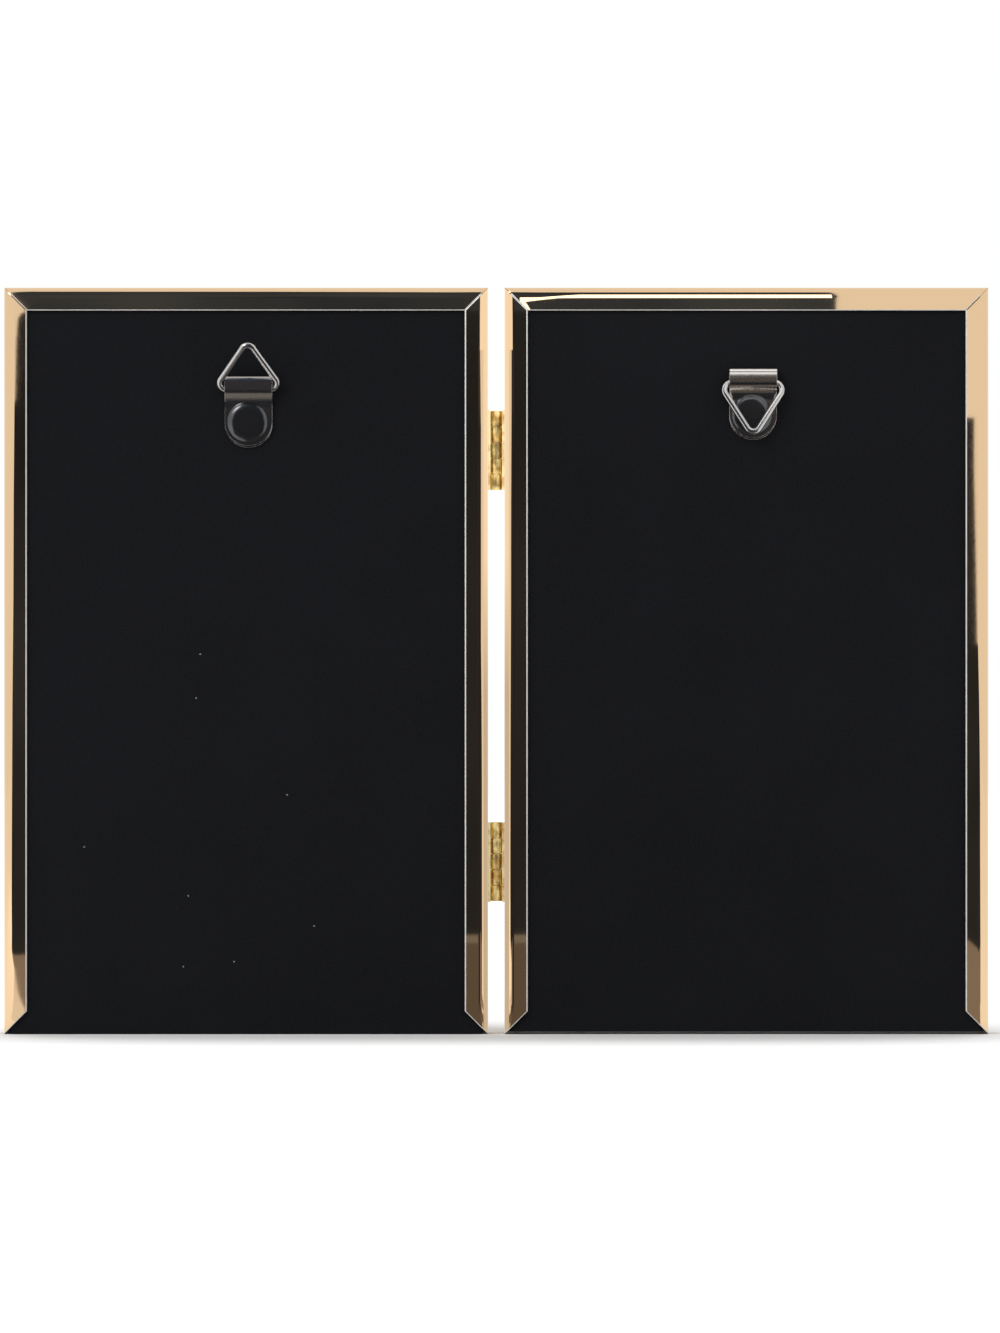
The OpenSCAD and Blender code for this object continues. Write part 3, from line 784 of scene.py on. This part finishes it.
def standing_card(name, finish, y, outline):
    """A card across the view, with an outline of X and Z in millimetres."""
    stage_card(name, finish, [(x * mm, y, z * mm) for x, z in outline])


def lying_card(name, finish, z, outline):
    """A card on the floor, with an outline of X and of Y from the flanges in millimetres."""
    stage_card(name, finish, [(x * mm, flange_y + y * mm, z) for x, y in outline])


def rectangle(low_x, high_x, low, high):
    return [(low_x, low), (high_x, low), (high_x, high), (low_x, high)]


def shows_background(tree):
    """1 for the camera's, mirrored and refracted rays, and 0 for those that light things."""
    path = add(tree, "ShaderNodeLightPath").outputs
    first = add(tree, "ShaderNodeMath", links={0: path["Is Camera Ray"], 1: path["Is Glossy Ray"]},
                operation="MAXIMUM")
    both = add(tree, "ShaderNodeMath", links={0: first.outputs[0], 1: path["Is Transmission Ray"]},
               operation="MAXIMUM")
    return both.outputs[0]


flange_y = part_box("left_outer_rail")[0].y
card_y = flange_y - card_gap
front_card_y = card_y + card_step
near_y = flange_y - near_gap
dark_outline = [
    (-190, 12.5), (-187, 17.7), (-193.5, 24.6), (-183, 48.7), (-168, 72.6), (-143, 96.3),
    (-135, 120), (-114, 143.5), (-113.6, 158), (-113.2, 163), (-112.3, 164), (-111.3, 164.3),
    (-111.3, 165), (80.2, 164.3), (80.2, 156), (106, 139.3), (113, 139.3), (113, 127),
    (113.4, 108), (113.8, 86), (143, 72.6), (159, 60.7), (170.5, 48.8), (170.5, 36.9),
    (177, 25.3), (183, 14), (115, 13), (111, 16.3), (60, 17.1), (-60, 17.1), (-113, 12.3)]
top_outline = [
    (-111.3, 165), (-113.9, 167.6), (-115.4, 233), (-128, 494), (-139, 741), (-69, 690),
    (-12, 494), (0, 473), (88, 473), (82.4, 303), (80.2, 164.3)]
brown_outline = [
    (-190, 12.5), (-113, 12.3), (-60, 17.1), (60, 17.1), (111, 16.3), (115, 13), (183, 14),
    (181, -1), (-111.5, -1), (-112.3, 1.1), (-113.2, 3.6), (-113.7, 6.4), (-114.1, 9.3)]
floor_outlines = {
    "left_rail": [(-111.5, -130), (-111, -121), (-109.5, -100), (-104, -100), (-104, -130)],
    "middle_rails": [(-95, -130), (95, -130), (95, -80), (5, -3), (-5, -3), (-95, -80)],
    "right_rail": [(98, -130), (166, -130), (110, -8), (98, -8)],
}
top_streak_outline = [
    (5.2, 160.7), (6.7, 159.2), (7.5, 159.2), (6.4, 160.9), (9.6, 161.3), (14, 161.75),
    (18.4, 162), (74, 162.1), (74, 172), (18.4, 172), (14, 167.5), (9.6, 163.6), (5.2, 162)]
strap_cards = (("left", -74, -34, "#7F7B75", "#3D3C3E"), ("right", 36, 76, "#85766E", "#554D49"))
dark_studio = mottled("dark_studio", "#23262C", "#363A43", cloud_size)
dark_top = mottled("dark_top", "#2F3746", "#444D5B", cloud_size)
dark_middle = mottled("dark_middle", "#262930", "#2F323A", cloud_size)
brown_studio = graded("brown_studio", "X", brown_fade, "#655F5C", "#8F8886")
standing_card("dark_card", dark_studio, card_y, dark_outline)
standing_card("dark_top_card", dark_top, card_y, top_outline)
standing_card("dark_middle_card", dark_middle, front_card_y, rectangle(-20, 20, 18, 164))
standing_card("brown_card", brown_studio, card_y, brown_outline)
standing_card("pale_line", glowing("pale_line", strength=0.22)[0], front_card_y,
              rectangle(-20, 20, 15.2, 17.1))
for name, outline in floor_outlines.items():
    lying_card(f"{name}_floor", brown_studio, floor_card_z, outline)
lying_card("left_rail_white_floor", glowing("left_rail_white_floor", strength=0.94)[0],
           floor_card_z / 2, rectangle(-150, -104, -400, -60))
for side, low_x, high_x, pale, dim in strap_cards:
    strap_floor = graded(f"{side}_strap_floor", "Y", strap_floor_fade, pale, dim)
    strap_wall = graded(f"{side}_strap_wall", "Z", strap_wall_fade, "#2B2C31", dim)
    lying_card(f"{side}_strap_floor", strap_floor, 2 * floor_card_z,
               rectangle(low_x, high_x, -130, -3))
    standing_card(f"{side}_strap_wall", strap_wall, front_card_y,
                  rectangle(low_x, high_x, 0, 157))
standing_card("top_streak", glowing("window_light", strength=2.7)[0], near_y,
              top_streak_outline)
standing_card("fold_streak", glowing("strap_window_light", strength=0.7)[0], near_y,
              rectangle(48, 64, 149, 157.5))
standing_card("fold_line", glowing("strap_window_edge", strength=1.5)[0], near_y,
              rectangle(48, 64, 144.9, 149))

frame_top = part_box("left_outer_rail")[1].z
gap_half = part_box("right_hinge_rail")[0].x
gap_y = flange_y + rear_fold_r + gap_card_rise
gap_near_y = flange_y - gap_card_gap
crest_y = flange_y - crest_card_gap
gap_light, tree, light = glowing("gap_light")
connect(tree, light, Strength=level(tree, along_axis(tree, "Z"), *gap_glow, *gap_fade))
stage_card("gap_light_card", gap_light, [
    (-gap_half, gap_y, 0), (gap_half, gap_y, 0), (gap_half, gap_y, frame_top),
    (-gap_half, gap_y, frame_top)])
stage_card("gap_middle_card", gap_light, [
    (0, gap_near_y, 0), (0, gap_y, 0), (0, gap_y, frame_top), (0, crest_y, frame_top),
    (0, crest_y, crest_card_foot), (0, gap_near_y, crest_card_foot)])
for height, strength in (("upper", 1.3), ("lower", 0.9)):
    pin_low, pin_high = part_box(f"{height}_hinge_pin")
    knuckle_y = (pin_low.y + pin_high.y) / 2 - gap_half - knuckle_card_gap
    side_x = gap_half - knuckle_card_inset
    foot_z, head_z = pin_low.z - knuckle_card_past, pin_high.z + knuckle_card_past
    stage_card(f"{height}_knuckle_light",
               mottled(f"{height}_knuckle_light", "#8A8278", "#FFFBF2", knuckle_spots, strength),
               [(x, knuckle_y, z) for x, z in rectangle(-side_x, side_x, foot_z, head_z)])

world = bpy.data.worlds.new("white_studio")
bpy.context.scene.world = world
world.use_nodes = True
sky = world.node_tree
sky.nodes.clear()
soft = add(sky, "ShaderNodeBackground", {"Color": (1, 1, 1, 1), "Strength": dome_light})
seen = add(sky, "ShaderNodeBackground", {"Color": (1, 1, 1, 1), "Strength": 1.0})
either = add(sky, "ShaderNodeMixShader", links={
    0: shows_background(sky), 1: soft.outputs["Background"], 2: seen.outputs["Background"]})
add(sky, "ShaderNodeOutputWorld", links={"Surface": either.outputs["Shader"]})

bm = bmesh.new()
bmesh.ops.create_grid(bm, x_segments=2, y_segments=2, size=floor_half)
floor_mesh = bpy.data.meshes.new("floor")
bm.to_mesh(floor_mesh)
bm.free()
floor = bpy.data.objects.new("floor", floor_mesh)
bpy.context.scene.collection.objects.link(floor)
floor_paint, paint, glow = glowing("white_floor")
matt = add(paint, "ShaderNodeBsdfDiffuse", {"Color": (floor_white, floor_white, floor_white, 1)})
# Ambient occlusion dims the floor's glow near the frames: a painted contact shadow on the floor.
painted_shadow_openness = add(paint, "ShaderNodeAmbientOcclusion", {"Distance": painted_shadow_reach},
               samples=painted_shadow_samples).outputs["AO"]
glow_less_painted_shadow = level(paint, painted_shadow_openness, low=0.0, high=floor_glow, start=painted_shadow_darkest_below)
glow_level = add(paint, "ShaderNodeMath", links={0: glow_less_painted_shadow, 1: shows_background(paint)},
                 operation="MULTIPLY").outputs[0]
connect(paint, glow, Strength=glow_level)
lit = add(paint, "ShaderNodeAddShader",
          links={0: matt.outputs["BSDF"], 1: glow.outputs["Emission"]})
surface = next(n for n in paint.nodes if n.type == "OUTPUT_MATERIAL").inputs["Surface"]
paint.links.new(lit.outputs["Shader"], surface)
floor_mesh.materials.append(floor_paint)

lamp_data = bpy.data.lights.new("key_softbox", "AREA")
lamp_data.shape = "RECTANGLE"
lamp_data.size = lamp_w
lamp_data.size_y = lamp_h
lamp_data.energy = lamp_watts
lamp = bpy.data.objects.new("key_softbox", lamp_data)
lamp.location = lamp_place
lamp.rotation_mode = "QUATERNION"
lamp.rotation_quaternion = (lamp_aim - lamp_place).to_track_quat("-Z", "Y")
bpy.context.scene.collection.objects.link(lamp)

camera_data = bpy.data.cameras.new("camera")
camera_data.lens = lens_mm
camera_data.sensor_width = sensor_mm
camera_data.clip_start = clip_near
distance = photo_width * photo_ratio * lens_mm / sensor_mm
camera = bpy.data.objects.new("camera", camera_data)
camera.location = (photo_centre.x, flange_y - distance, photo_centre.y)
camera.rotation_euler = (math.pi / 2, 0, 0)
bpy.context.scene.collection.objects.link(camera)
bpy.context.scene.camera = camera
bpy.context.scene.view_settings.view_transform = "Standard"
